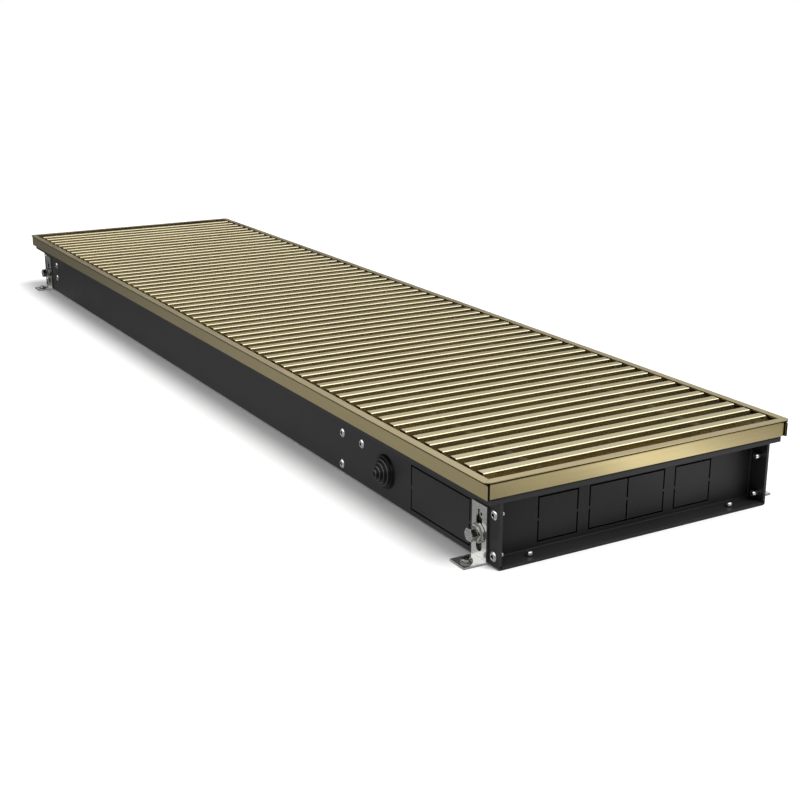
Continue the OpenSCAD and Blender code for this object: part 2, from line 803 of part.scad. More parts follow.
// Support plate with four ringed tube holes and riveted folds towards +X
module support(fold_low, fold_high) {
    edge = wall_in - press_gap - support_t / 2;
    shoulder = spreader_t + slide_gap;
    difference() {
        union() {
            translate([0, 0, fold_low]) linear_extrude(fold_high - fold_low) folded_sheet([
                [support_fold_len, -edge],
                [support_t / 2, -edge],
                [support_t / 2, edge],
                [support_fold_len, edge]], support_t);
            block([0, shoulder - edge, sheet_t + press_gap], [support_t, edge - shoulder, support_top]);
        }
        for (y = tube_ys()) translate([-over, y, tube_z]) to_x()
            cylinder(support_t + 2 * over, r = ring_seat_r);
        for (y = [0, 1], z = [near_foot_rivet_z, far_rivet_low, far_rivet_high]) mirror([0, y, 0])
            if (z > fold_low && z < fold_high)
                translate([support_fold_len / 2, over + support_t - wall_in, z]) to_left()
                cylinder(support_t + 2 * over, r = rivet_r);
    }
}

module support_near() {
    color("#8d9196") translate([near_support_x, 0, 0])
        support(sheet_t + fold_r + press_gap, sheet_t + press_gap + support_foot_hgt);
}

module support_far() {
    color("#8d9196") translate([far_support_x, 0, 0]) mirror([1, 0, 0])
        support(far_rivet_low - far_fold_margin, far_rivet_high + far_fold_margin);
}

module isolator_rings() {
    flange_r = ring_seat_r + ring_flange;
    half = support_t / 2 + press_gap;
    outline = [
        [tube_r + press_gap, -half - ring_flange_t],
        [flange_r, -half - ring_flange_t],
        [flange_r, -half],
        [ring_seat_r - press_gap, -half],
        [ring_seat_r - press_gap, half],
        [flange_r, half],
        [flange_r, half + ring_flange_t],
        [tube_r + press_gap, half + ring_flange_t]];
    places = [near_support_x + support_t / 2, far_support_x - support_t / 2];
    color("#1b1b1b") for (x = places, y = tube_ys())
        translate([x, y, tube_z]) to_x() rotate_extrude() polygon(outline);
}

// Fitting on the end of an outer tube, with an internal thread that opens towards the near end
module fitting(y) {
    flow_r = tube_r - tube_wall;
    hex_x = tube_end_x + press_gap + tube_stop;
    corner_r = fitting_flats / sqrt(3);
    translate([0, y, tube_z]) difference() {
        union() {
            translate([hex_x - fitting_neck_len, 0, 0]) to_x()
                cylinder(fitting_neck_len, r = tube_r + fitting_wall);
            translate([hex_x, 0, 0]) rotate([90, 0, 0]) to_x()
                cylinder(fitting_hex_len, r = corner_r, $fn = 6);
        }
        translate([hex_x - fitting_neck_len - over, 0, 0]) to_x()
            cylinder(fitting_neck_len + over - tube_stop, r = tube_r + press_gap);
        translate([hex_x - tube_stop - over, 0, 0]) to_x() cylinder(fitting_hex_len, r = flow_r);
        translate([hex_x + fitting_hex_len - thread_len, 0, 0]) to_x()
            cylinder(thread_len + over, r = thread_r);
    }
}

module supply_fitting() {
    color("#c9a24a") fitting(tube_ys()[0]);
}

module return_fitting() {
    color("#c9a24a") fitting(tube_ys()[2 * half_tubes - 1]);
}

module vent_body() {
    color("#c9a24a") translate([vent_x, vent_y, vent_z]) difference() {
        cylinder(vent_hgt, r = vent_r);
        translate([0, 0, vent_floor]) cylinder(vent_hgt, r = vent_screw_r + turn_gap);
    }
}

module vent_screw() {
    len = vent_hgt - vent_floor - slide_gap + vent_screw_head;
    color("#d8d9da") translate([vent_x, vent_y, vent_z + vent_floor + slide_gap]) difference() {
        cylinder(len, r = vent_screw_r);
        block(
            [-vent_screw_r - over, -vent_slot_wid / 2, len - vent_slot_deep],
            [vent_screw_r + over, vent_slot_wid / 2, len + over]);
    }
}

// The left wall's place at the middle of the near left bracket, pointing out of the wall
module at_bolts() {
    at_corners() translate([bracket_x, -side, bolt_z]) to_left() children();
}

module threaded_inserts() {
    head_out = insert_head_t / 2;
    color("#b9babc") at_bolts() translate([0, 0, head_out - insert_len])
        ring(insert_r - press_gap, bolt_r + press_gap, insert_len);
}

module washers() {
    color("#cfd0d2") at_bolts() translate([0, 0, bracket_face - side + slide_gap])
        ring(washer_r, bolt_r + press_gap, washer_t);
}

module lock_nuts() {
    color("#cfd0d2") at_bolts()
        translate([0, 0, bracket_face - side + slide_gap + washer_t + press_gap]) difference() {
            hexagon(nut_flats, nut_hgt);
            translate([0, 0, -over]) cylinder(nut_hgt + 2 * over, r = bolt_r + press_gap);
        }
}

module levelling_bolts() {
    head = bracket_face - side + slide_gap + washer_t + nut_hgt + 2 * press_gap;
    color("#dfe0e1") at_bolts() {
        translate([0, 0, head]) hexagon(bolt_flats, bolt_head_hgt);
        translate([0, 0, insert_head_t - insert_len])
            cylinder(head + insert_len - insert_head_t, r = bolt_r);
    }
}

// Slotted angle at the near left corner, standing beside the wall on its foot
module levelling_bracket() {
    t = bracket_t;
    mid = slot_low + (slot_high - slot_low) / 2;
    slot_rise = (slot_high - slot_low) / 2 - slot_half;
    color("#cdced0") translate([bracket_x, 0, 0]) difference() {
        along_x(bracket_wid) folded_sheet([
            [-bracket_back - t / 2, bracket_hgt],
            [-bracket_back - t / 2, t / 2],
            [-bracket_back - foot_len, t / 2]], t);
        for (z = [mid - slot_rise, mid + slot_rise]) translate([0, over - bracket_back, z]) to_left()
            cylinder(t + 2 * over, r = slot_half);
        block(
            [-slot_half, -bracket_face - over, mid - slot_rise],
            [slot_half, over - bracket_back, mid + slot_rise]);
        translate([0, -foot_screw_y, -over]) cylinder(t + 2 * over, r = foot_screw_r + press_gap);
    }
}

// Pan head screw in the foot, its point flush with the foot's underside
module foot_screw() {
    socket_r = foot_screw_head_r * socket_share;
    color("#d9dadb") translate([bracket_x, -foot_screw_y, 0]) difference() {
        union() {
            cylinder(bracket_t + press_gap, r = foot_screw_r);
            translate([0, 0, bracket_t + press_gap]) rotate_extrude() polygon(concat(
                [[0, 0], [foot_screw_head_r, 0]],
                [for (k = [0 : dome_steps]) let (a = 90 * k / dome_steps)
                    [socket_r + (foot_screw_head_r - socket_r) * cos(a),
                        foot_screw_head_hgt * (head_edge_share + (1 - head_edge_share) * sin(a))]],
                [[0, foot_screw_head_hgt]]));
        }
        translate([0, 0, bracket_t + press_gap + foot_screw_head_hgt / 2])
            cylinder(foot_screw_head_hgt, r = socket_r, $fn = 6);
    }
}

// Corners 1 to 4: near left, near right, far left, far right
module at_corner(k) {
    mirror([k > 2 ? 1 : 0, 0, 0]) mirror([0, k % 2 == 0 ? 1 : 0, 0]) children();
}

casing_tray();
end_wall();  // end_wall_near
mirror([1, 0, 0]) end_wall();  // end_wall_far
end_rivets();
bracket_rivets();
cable_grommet();
spreader_bar();
trim_side();  // trim_left
mirror([0, 1, 0]) trim_side();  // trim_right
trim_end();  // trim_near
mirror([1, 0, 0]) trim_end();  // trim_far
trim_corner_keys();
grille_seals();
support_near();
support_far();
isolator_rings();
copper_tubes();
return_bends();
fins();
supply_fitting();
return_fitting();
vent_body();
vent_screw();
threaded_inserts();
levelling_bolts();
lock_nuts();
washers();
grille_slats();
grille_springs();
grille_bushes();
for (k = [1 : 4]) {
    at_corner(k) levelling_bracket();
    at_corner(k) foot_screw();
}
for (k = [1 : roll_count]) {
    roll_slat(k);
    roll_link(k);
}
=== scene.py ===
import math

import bmesh
import bpy
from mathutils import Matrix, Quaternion, Vector


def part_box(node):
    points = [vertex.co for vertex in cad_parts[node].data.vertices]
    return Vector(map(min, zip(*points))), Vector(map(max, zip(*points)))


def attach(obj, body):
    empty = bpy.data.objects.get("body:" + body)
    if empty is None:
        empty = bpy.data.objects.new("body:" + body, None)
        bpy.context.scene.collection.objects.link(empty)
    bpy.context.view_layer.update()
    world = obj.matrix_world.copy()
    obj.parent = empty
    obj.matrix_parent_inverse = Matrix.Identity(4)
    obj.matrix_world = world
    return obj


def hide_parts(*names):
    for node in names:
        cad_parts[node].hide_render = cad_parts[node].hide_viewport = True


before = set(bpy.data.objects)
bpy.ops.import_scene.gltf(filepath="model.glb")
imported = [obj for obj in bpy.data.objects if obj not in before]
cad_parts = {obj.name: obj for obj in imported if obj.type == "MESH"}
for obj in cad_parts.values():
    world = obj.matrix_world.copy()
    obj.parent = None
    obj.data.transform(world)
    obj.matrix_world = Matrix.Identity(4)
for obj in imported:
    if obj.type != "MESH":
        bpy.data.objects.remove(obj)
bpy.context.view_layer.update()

MM = 0.001
scene = bpy.context.scene
scene.view_settings.view_transform = "Standard"


# Camera at the photograph's viewpoint
CAMERA_PLACE = Vector((1138.3, -566.6, 352.9)) * MM
CAMERA_AZIMUTH = math.radians(59.527)
CAMERA_ELEVATION = math.radians(17.018)
CAMERA_ROLL = math.radians(0.197)
CAMERA_LENS = 60.366
CAMERA_SENSOR = 36


def make_camera():
    data = bpy.data.cameras.new("camera")
    data.lens = CAMERA_LENS
    data.sensor_width = CAMERA_SENSOR
    data.clip_start = 0.01
    data.clip_end = 100
    camera = bpy.data.objects.new("camera", data)
    flat = math.cos(CAMERA_ELEVATION)
    ahead = Vector((
        -math.sin(CAMERA_AZIMUTH) * flat,
        math.cos(CAMERA_AZIMUTH) * flat,
        -math.sin(CAMERA_ELEVATION)))
    camera.location = CAMERA_PLACE
    camera.rotation_mode = "QUATERNION"
    camera.rotation_quaternion = Quaternion(ahead, -CAMERA_ROLL) @ ahead.to_track_quat("-Z", "Y")
    scene.collection.objects.link(camera)
    scene.camera = camera


# Node trees
class Nodes:
    """A node tree, with short ways to add, join and reckon with nodes."""

    def __init__(self, tree):
        self.nodes, self.links = tree.nodes, tree.links

    def add(self, kind, **settings):
        node = self.nodes.new(kind)
        for key, value in settings.items():
            setattr(node, key, value)
        return node

    def join(self, source, target):
        self.links.new(source, target)

    def reckon(self, operation, *values):
        """The result of a Math node on numbers or outputs."""
        node = self.add("ShaderNodeMath", operation=operation)
        for socket, value in zip(node.inputs, values):
            if isinstance(value, bpy.types.NodeSocket):
                self.join(value, socket)
            else:
                socket.default_value = value
        return node.outputs[0]

    def split(self, vector):
        node = self.add("ShaderNodeSeparateXYZ")
        self.join(vector, node.inputs[0])
        return node.outputs["X"], node.outputs["Y"], node.outputs["Z"]


class Finish(Nodes):
    """A material of the object, with the textures that the finishes share."""

    def __init__(self, name):
        self.material = bpy.data.materials.new(name)
        self.material.use_nodes = True
        super().__init__(self.material.node_tree)
        self.bsdf = self.nodes["Principled BSDF"]
        self.place = self.add("ShaderNodeTexCoord").outputs["Object"]

    def noise(self, scale, detail=3.0, roughness=0.5, stretch=(1, 1, 1)):
        """Noise in the object's own coordinates, stretched by a scale for each axis."""
        mapping = self.add("ShaderNodeMapping")
        mapping.inputs["Scale"].default_value = stretch
        self.join(self.place, mapping.inputs["Vector"])
        node = self.add("ShaderNodeTexNoise")
        node.inputs["Scale"].default_value = scale
        node.inputs["Detail"].default_value = detail
        node.inputs["Roughness"].default_value = roughness
        self.join(mapping.outputs["Vector"], node.inputs["Vector"])
        return node.outputs["Fac"]

    def between(self, value, low, high, from_low=0.3, from_high=0.7):
        node = self.add("ShaderNodeMapRange")
        node.inputs["From Min"].default_value = from_low
        node.inputs["From Max"].default_value = from_high
        node.inputs["To Min"].default_value = low
        node.inputs["To Max"].default_value = high
        self.join(value, node.inputs["Value"])
        return node.outputs["Result"]

    def blend(self, factor, low, high):
        """A colour between two colours or colour outputs."""
        node = self.add("ShaderNodeMix", data_type="RGBA")
        self.join(factor, node.inputs["Factor"])
        for key, value in (("A", low), ("B", high)):
            socket = [s for s in node.inputs if s.name == key and s.type == "RGBA"][0]
            if isinstance(value, bpy.types.NodeSocket):
                self.join(value, socket)
            else:
                socket.default_value = (*value, 1)
        return [s for s in node.outputs if s.type == "RGBA"][0]

    def edges(self, radius, width=0.3):
        """1 along sharp edges and 0 on flat faces."""
        bevel = self.add("ShaderNodeBevel", samples=6)
        bevel.inputs["Radius"].default_value = radius
        geometry = self.add("ShaderNodeNewGeometry")
        dot = self.add("ShaderNodeVectorMath", operation="DOT_PRODUCT")
        self.join(bevel.outputs["Normal"], dot.inputs[0])
        self.join(geometry.outputs["Normal"], dot.inputs[1])
        return self.between(dot.outputs["Value"], 1, 0, 1 - width, 0.995)

    def crevices(self, distance, open_at=0.75, shut_at=0.2):
        """1 in narrow gaps and holes and 0 on open faces."""
        node = self.add("ShaderNodeAmbientOcclusion", samples=8)
        node.inputs["Distance"].default_value = distance
        return self.between(node.outputs["AO"], 1, 0, shut_at, open_at)

    def facing(self, axis):
        """How far a face looks along an axis, whichever way."""
        parts = self.split(self.add("ShaderNodeTexCoord").outputs["Normal"])
        return self.reckon("ABSOLUTE", parts["XYZ".index(axis)])

    def bumps(self, *layers):
        """Stacks heights, each given as (output, height in metres)."""
        normal = None
        for height, depth in layers:
            node = self.add("ShaderNodeBump")
            node.inputs["Distance"].default_value = depth
            node.inputs["Strength"].default_value = 1.0
            self.join(height, node.inputs["Height"])
            if normal is not None:
                self.join(normal, node.inputs["Normal"])
            normal = node.outputs["Normal"]
        self.join(normal, self.bsdf.inputs["Normal"])

    def set(self, **values):
        """Values that are the same all over the surface."""
        for key, value in values.items():
            name = key.replace("_", " ").title().replace("Ior", "IOR")
            self.bsdf.inputs[name].default_value = value

    def base(self, output):
        self.join(output, self.bsdf.inputs["Base Color"])

    def rough(self, output):
        self.join(output, self.bsdf.inputs["Roughness"])


# Finishes: colours are linear, noise scales are per metre and bump heights in metres
def times(colour, factor, extra=0.0):
    return tuple(c * factor + extra for c in colour)


def powder_coat(name, colour, worn_and_highlit_edges):
    """Dark satin powder coat with a fine orange peel, a little dust, painted shade in creases and
    edges lighter as wear and painted highlight.
    """
    finish = Finish(name)
    clouds = finish.noise(14, detail=4)
    speck = finish.noise(2600, detail=2)
    peel = finish.noise(900, detail=2)
    body = finish.blend(finish.between(clouds, 0, 1), colour, times(colour, 1.25, 0.002))
    body = finish.blend(finish.between(speck, 0, 0.35, 0.55, 0.8), body, times(colour, 1.7))
    # Painted shade: creases and recesses within 25 mm darken towards 0.3 of the colour.
    body = finish.blend(finish.crevices(25 * MM, 0.9), body, times(colour, 0.3))
    # Edges, concave as well as convex, are lighter: wear and a painted highlight.
    finish.base(finish.blend(finish.edges(0.5 * MM), body, worn_and_highlit_edges))
    finish.rough(finish.between(clouds, 0.36, 0.44))
    finish.bumps((peel, 0.00004), (speck, 0.00001))
    finish.set(specular_ior_level=0.3)
    return finish.material


def anodised(name, colour, along, line, rough, groove=None, cut_ends=None, metal=1.0):
    """Champagne anodised aluminium with fine lines along the extrusion.

    Grooves about as narrow as a given width lie in shadow, and so do the sawn ends of its walls,
    where there are any: they face along X beyond a distance and below a height in cut_ends.
    """
    finish = Finish(name)
    shade = times(colour, 0.04)
    stretch = tuple(0.02 if axis == along else 1 for axis in "XYZ")
    lines = finish.noise(line, detail=4, roughness=0.6, stretch=stretch)
    broad = finish.noise(18, detail=2)
    fine = finish.noise(4200, detail=1)
    body = finish.blend(finish.between(lines, 0, 1), times(colour, 0.93), colour)
    if groove:
        body = finish.blend(finish.crevices(groove, 0.88, 0.6), body, shade)
    if cut_ends:
        x, _, z = finish.split(finish.place)
        beyond = finish.reckon("GREATER_THAN", finish.reckon("ABSOLUTE", x), cut_ends[0])
        ends = finish.reckon("GREATER_THAN", finish.facing("X"), 0.9)
        ends = finish.reckon("MULTIPLY", ends, beyond)
        ends = finish.reckon("MULTIPLY", ends, finish.reckon("LESS_THAN", z, cut_ends[1]))
        body = finish.blend(ends, body, shade)
    finish.base(body)
    finish.rough(finish.between(broad, *rough))
    finish.bumps((lines, 0.000005), (fine, 0.000002))
    finish.set(metallic=metal)
    return finish.material


def steel(name, colour, rough, line, along="Z"):
    """Rolled or turned metal with fine lines and slightly darker stains."""
    finish = Finish(name)
    stretch = tuple(0.05 if axis == along else 1 for axis in "XYZ")
    lines = finish.noise(line, detail=3, roughness=0.6, stretch=stretch)
    stains = finish.noise(160, detail=4)
    finish.base(finish.blend(finish.between(stains, 0, 1), times(colour, 0.82), colour))
    finish.rough(finish.between(lines, rough * 0.75, rough * 1.3))
    finish.bumps((lines, 0.000008))
    finish.set(metallic=1.0)
    return finish.material


def bright_plating(name, colour, rough, gap=1.6 * MM, open_at=0.5):
    """Bright plated or polished steel, with painted shade darkening holes, slots and threads as
    narrow as a gap.
    """
    finish = Finish(name)
    smudges = finish.noise(420, detail=3)
    ripple = finish.noise(1200, detail=1)
    body = finish.blend(finish.between(smudges, 0, 1), times(colour, 0.9), colour)
    # Painted shade: holes, slots and threads go down to 0.05 of the colour.
    finish.base(finish.blend(finish.crevices(gap, open_at), body, times(colour, 0.05)))
    finish.rough(finish.between(smudges, rough, rough * 1.8))
    finish.bumps((ripple, 0.00001))
    finish.set(metallic=1.0)
    return finish.material


def knurled_bolt(name, face, side):
    """Bolt with a plain satin end face and textured sides, which are painted darker as shade."""
    finish = Finish(name)
    grain = finish.noise(900, detail=2)
    knurl = finish.noise(1500, detail=1, stretch=(1, 0.35, 1))
    # Painted shade: faces that don't look along Y, the sides, take the darker side colour.
    ends = finish.between(finish.facing("Y"), 0, 1, 0.7, 0.8)
    sides = finish.blend(finish.between(knurl, 0, 1, 0.45, 0.6), times(side, 0.3), side)
    faces = finish.blend(finish.between(grain, 0, 1), times(face, 0.8), face)
    # Wear and painted highlight: the edges are half again as light as the end face.
    edge = tuple(min(1, c) for c in times(face, 1.5))
    worn_and_highlit_edges = finish.blend(finish.edges(0.3 * MM, 0.2), finish.blend(ends, sides, faces), edge)
    # Painted shade: gaps narrower than a millimetre go nearly black.
    finish.base(finish.blend(finish.crevices(1 * MM, 0.45), worn_and_highlit_edges, (0.01, 0.01, 0.01)))
    finish.rough(finish.between(grain, 0.16, 0.3))
    finish.bumps((knurl, 0.00005))
    finish.set(metallic=1.0)
    return finish.material


def copper_or_brass(name, colour, tarnish, rough):
    """Bare copper or brass with patches of tarnish."""
    finish = Finish(name)
    patches = finish.noise(55, detail=5, roughness=0.6)
    fine = finish.noise(1500, detail=2, stretch=(0.1, 1, 1))
    finish.base(finish.blend(finish.between(patches, 0, 1, 0.35, 0.75), colour, tarnish))
    finish.rough(finish.between(patches, rough, rough * 1.7))
    finish.bumps((fine, 0.000005))
    finish.set(metallic=1.0)
    return finish.material


def rubber(name, colour, shine):
    """Moulded black rubber with a dull bloom."""
    finish = Finish(name)
    bloom = finish.noise(120, detail=4)
    grain = finish.noise(2200, detail=2)
    finish.base(finish.blend(finish.between(bloom, 0, 1), colour, times(colour, 1.6)))
    finish.rough(finish.between(bloom, 0.24, 0.32))
    finish.bumps((grain, 0.00002))
    finish.set(specular_ior_level=shine)
    return finish.material


def plastic(name, colour, shine=0.5):
    """Moulded plastic with a faint texture."""
    finish = Finish(name)
    grain = finish.noise(1800, detail=2)
    bloom = finish.noise(60, detail=3)
    finish.base(finish.blend(finish.between(bloom, 0, 1), colour, times(colour, 1.2)))
    finish.rough(finish.between(bloom, 0.45, 0.55))
    finish.bumps((grain, 0.00001))
    finish.set(specular_ior_level=shine)
    return finish.material


GRAPHITE = (0.017, 0.0168, 0.0175)
CHAMPAGNE = (0.6, 0.5, 0.265)
TRIM_ROUGH = (0.2, 0.27)
TRIM_GROOVE = 1.8 * MM
# The long trims' sawn ends: beyond this |x| and below this height, in metres
TRIM_CUT_ENDS = (0.4985, 0.0607)

PAINT = powder_coat("casing_powder_coat", GRAPHITE, (0.05, 0.05, 0.052))
INNER_PAINT = powder_coat("inner_powder_coat", times(GRAPHITE, 1.3), (0.08, 0.08, 0.085))
TRIM_X = anodised("trim_anodised_long", CHAMPAGNE, "X", 900, TRIM_ROUGH, TRIM_GROOVE, TRIM_CUT_ENDS)
TRIM_Y = anodised("trim_anodised_short", CHAMPAGNE, "Y", 900, TRIM_ROUGH, TRIM_GROOVE)
SLAT = anodised("slat_anodised", (0.7, 0.605, 0.345), "Y", 1300, (0.14, 0.2), metal=0.95)
# A lighter copy of the slats' anodising for the bevels of their upper edges: a painted highlight.
SLAT_PAINTED_HIGHLIGHT = anodised("slat_edge_anodised", (0.94, 0.86, 0.56), "Y", 1300, (0.1, 0.14), metal=0.97)
MILL_ALUMINIUM = steel("mill_aluminium", (0.68, 0.68, 0.7), 0.35, 900, "X")
FIN = steel("fin_aluminium", (0.74, 0.75, 0.77), 0.3, 700, "Z")
ZINC = steel("zinc_plated_steel", (0.5, 0.51, 0.53), 0.38, 500, "Y")
STAINLESS = bright_plating("stainless_satin", (0.78, 0.78, 0.755), 0.15, 0.8 * MM)
FOOT_SCREW = bright_plating("foot_screw_steel", (0.22, 0.22, 0.21), 0.09, 2 * MM, 0.85)
NUT = bright_plating("nut_steel", (0.42, 0.42, 0.4), 0.08, 1.5 * MM, 0.8)
BRIGHT = bright_plating("bright_zinc", (0.82, 0.82, 0.82), 0.05)
FLUSH_BRIGHT = bright_plating("bright_rivet", (0.95, 0.95, 0.95), 0.12, 0.1 * MM, 0.3)
BOLT = knurled_bolt("satin_bolt", (0.8, 0.8, 0.78), (0.2, 0.2, 0.19))
RIVET_TAIL = bright_plating("rivet_tail", (0.8, 0.8, 0.8), 0.06, 4 * MM, 0.8)
# Pure black for rivet holes and knock-out slots: painted shade.
PAINTED_SHADE = plastic("painted_shade_black", (0.001, 0.001, 0.001), 0.0)
SPRING = steel("spring_wire", (0.4, 0.4, 0.42), 0.3, 2600, "Y")
COPPER = copper_or_brass("drawn_copper", (0.78, 0.38, 0.24), (0.36, 0.16, 0.09), 0.24)
BRASS = copper_or_brass("turned_brass", (0.72, 0.53, 0.24), (0.42, 0.29, 0.12), 0.22)
RUBBER = rubber("black_rubber", (0.004, 0.004, 0.0042), 0.12)
RUBBER_EDGE = rubber("polished_rubber_edge", (0.006, 0.006, 0.006), 1.0)
PLASTIC = plastic("bush_plastic", (0.02, 0.02, 0.02))

FINISHES = {
    "casing_tray": PAINT, "end_wall_near": PAINT, "end_wall_far": PAINT,
    "spreader_bar": INNER_PAINT,
    "trim_left": TRIM_X, "trim_right": TRIM_X, "trim_near": TRIM_Y, "trim_far": TRIM_Y,
    "trim_corner_keys": MILL_ALUMINIUM, "grille_slats": SLAT, "fins": FIN,
    "support_near": ZINC, "support_far": ZINC, "threaded_inserts": ZINC,
    "end_rivets": BRIGHT, "bracket_rivets": BRIGHT, "levelling_bolts": BOLT, "lock_nuts": NUT,
    "washers": NUT, "vent_screw": BRIGHT, "foot_screw": FOOT_SCREW, "levelling_bracket": STAINLESS,
    "grille_springs": SPRING, "grille_bushes": PLASTIC, "roll_link": PLASTIC, "roll_slat": SLAT,
    "cable_grommet": RUBBER, "grille_seals": RUBBER, "isolator_rings": RUBBER,
    "copper_tubes": COPPER, "return_bends": COPPER,
    "supply_fitting": BRASS, "return_fitting": BRASS, "vent_body": BRASS}


def finish_of(node):
    """The finish of a node, or of its family where its name ends in a number."""
    return FINISHES.get(node) or FINISHES[node.rstrip("0123456789").rstrip("_")]


def dress_nodes():
    for name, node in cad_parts.items():
        node.data.materials.clear()
        node.data.materials.append(finish_of(name))


# Meshes. Points closer than this, in metres, are one
WELD = 1e-6


def add_object(name, mesh):
    item = bpy.data.objects.new(name, mesh)
    scene.collection.objects.link(item)
    return item


def smooth(mesh, crease, weld=False, material_of=None):
    """Turns the faces outward and smooths all edges but those sharper than some degrees."""
    bm = bmesh.new()
    bm.from_mesh(mesh)
    if weld:
        bmesh.ops.remove_doubles(bm, verts=bm.verts, dist=WELD)
    bmesh.ops.recalc_face_normals(bm, faces=bm.faces)
    for face in bm.faces:
        face.smooth = True
        if material_of:
            face.material_index = material_of(face)
    for edge in bm.edges:
        edge.smooth = edge.calc_face_angle(0) < math.radians(crease)
    bm.to_mesh(mesh)
    bm.free()


# Grille slats with tapered sides and bevelled upper edges
SLAT_WID = 8 * MM
SLAT_PITCH = 16 * MM
SLAT_WALL = 1.1 * MM
SLAT_TAPER = 0.4 * MM
SLAT_BEVEL = (0.55 * MM, 0.4 * MM)
SLAT_INNER_BEVEL = (0.2 * MM, 0.2 * MM)
SLAT_CREASE = 15
# How far the slats' left ends stop short of the solids', which fill the seat's whole play
SLAT_PLAY = 1.7 * MM
ROLL_COUNT = 10


def slat_outline(half, low, high, bevel):
    """Outline of a slat in X and Z, about its middle."""
    top = half - SLAT_TAPER
    side = [(half, low), (top, high - bevel[1]), (top - bevel[0], high)]
    return side + [(-x, z) for x, z in reversed(side)]


def build_slats(node, name, body):
    """Hollow slats in the place of a node that holds one or more of them."""
    low, high = (Vector(corner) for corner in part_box(node))
    half, wall = SLAT_WID / 2, SLAT_WALL
    outer = slat_outline(half, low.z, high.z, SLAT_BEVEL)
    inner = slat_outline(half - wall, low.z + wall, high.z - wall, SLAT_INNER_BEVEL)
    count = round((high.x - low.x - SLAT_WID) / SLAT_PITCH) + 1
    n = len(outer)
    points, faces = [], []
    for i in range(count):
        middle = low.x + SLAT_WID / 2 + i * SLAT_PITCH
        start = len(points)
        for y in (low.y + SLAT_PLAY, high.y):
            for outline in (outer, inner):
                points.extend((middle + x, y, z) for x, z in outline)
        front_outer, front_inner, back_outer, back_inner = (start + k * n for k in range(4))
        for k in range(n):
            j = (k + 1) % n
            faces.append((front_outer + k, front_outer + j, back_outer + j, back_outer + k))
            faces.append((front_inner + j, front_inner + k, back_inner + k, back_inner + j))
            faces.append((front_outer + j, front_outer + k, front_inner + k, front_inner + j))
            faces.append((back_outer + k, back_outer + j, back_inner + j, back_inner + k))
    mesh = bpy.data.meshes.new(name)
    mesh.from_pydata(points, [], faces)
    mesh.validate()
    mesh.materials.append(SLAT)
    mesh.materials.append(SLAT_PAINTED_HIGHLIGHT)

    def on_bevel(face):
        """1 on the bevels along the upper edges, which take the painted highlight, and 0 elsewhere,
        as material numbers.
        """
        sloped = abs(face.normal.x) > 0.2 and face.normal.z > 0.2
        return int(sloped and face.calc_center_median().z > high.z - 1 * MM)

    smooth(mesh, SLAT_CREASE, material_of=on_bevel)
    piece = add_object(name, mesh)
    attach(piece, body)
    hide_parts(node)


def build_grille():
    build_slats("grille_slats", "tapered_slats", "grille")
    for k in range(1, ROLL_COUNT + 1):
        build_slats("roll_slat_%d" % k, "tapered_slat_%d" % k, "slat_%d" % k)


# Turned pieces: rivets and the grommet
def islands(node):
    """Boxes of the separate solids in a node, as (lowest corner, highest corner)."""
    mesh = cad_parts[node].data
    root = list(range(len(mesh.vertices)))
    first = {}
    for vertex in mesh.vertices:
        place = tuple(round(c / WELD) for c in vertex.co)
        root[vertex.index] = first.setdefault(place, vertex.index)

    def find(i):
        while root[i] != i:
            root[i] = root[root[i]]
            i = root[i]
        return i

    for edge in mesh.edges:
        root[find(edge.vertices[0])] = find(edge.vertices[1])
    groups = {}
    for vertex in mesh.vertices:
        groups.setdefault(find(vertex.index), []).append(vertex.co)
    return [
        tuple(Vector(pick(point[k] for point in group) for k in range(3)) for pick in (min, max))
        for group in groups.values()]


class Turned:
    """A mesh of turned shapes, each an outline of (radius, height, material) round an axis."""

    CREASE = 40

    def __init__(self, *materials, sides=28):
        self.points, self.faces, self.finish = [], [], []
        self.materials, self.sides = materials, sides

    def add(self, outline, origin, up):
        """Adds a shape in millimetres. A ring's material is that of the band to the next ring."""
        up = Vector(up).normalized()
        side = up.orthogonal().normalized()
        other = up.cross(side)
        start = len(self.points)
        for r, h, _ in outline:
            for k in range(self.sides):
                a = 2 * math.pi * k / self.sides
                out = (side * math.cos(a) + other * math.sin(a)) * r * MM
                self.points.append(Vector(origin) + up * h * MM + out)
        for i in range(len(outline) - 1):
            low, high = start + i * self.sides, start + (i + 1) * self.sides
            for k in range(self.sides):
                j = (k + 1) % self.sides
                self.faces.append((low + k, low + j, high + j, high + k))
                self.finish.append(outline[i][2])

    def piece(self, name):
        mesh = bpy.data.meshes.new(name)
        mesh.from_pydata(self.points, [], self.faces)
        for material in self.materials:
            mesh.materials.append(material)
        mesh.polygons.foreach_set("material_index", self.finish)
        smooth(mesh, self.CREASE, weld=True)
        return add_object(name, mesh)


# Rivets, in millimetres, with the material numbers of their bands
# DARK bands, the insides of the mandrel holes, take the black material: painted shade.
BODY, DARK, TAIL = 0, 1, 2
HOLE_R = 1.35
HEAD_HGT = 1.2
HEAD = (
    (0, 0.15, DARK), (HOLE_R, 0.15, DARK), (HOLE_R, 1.1, BODY), (1.5, HEAD_HGT, BODY),
    (2.0, 1.1, BODY), (2.6, 0.85, BODY), (3.1, 0.5, BODY), (3.4, 0.2, BODY), (3.4, 0, BODY))
SHANK_R = 1.95
# Thickness that an end rivet holds, and tail length of the solids' rivets
GRIP = 2.05
CAD_TAIL = 3
# Tail lengths drawn here: through an ear, through the bottom and inside a long wall
EAR_TAIL = 5.0
FOLD_TAIL = 3.3
WALL_TAIL = 2.9


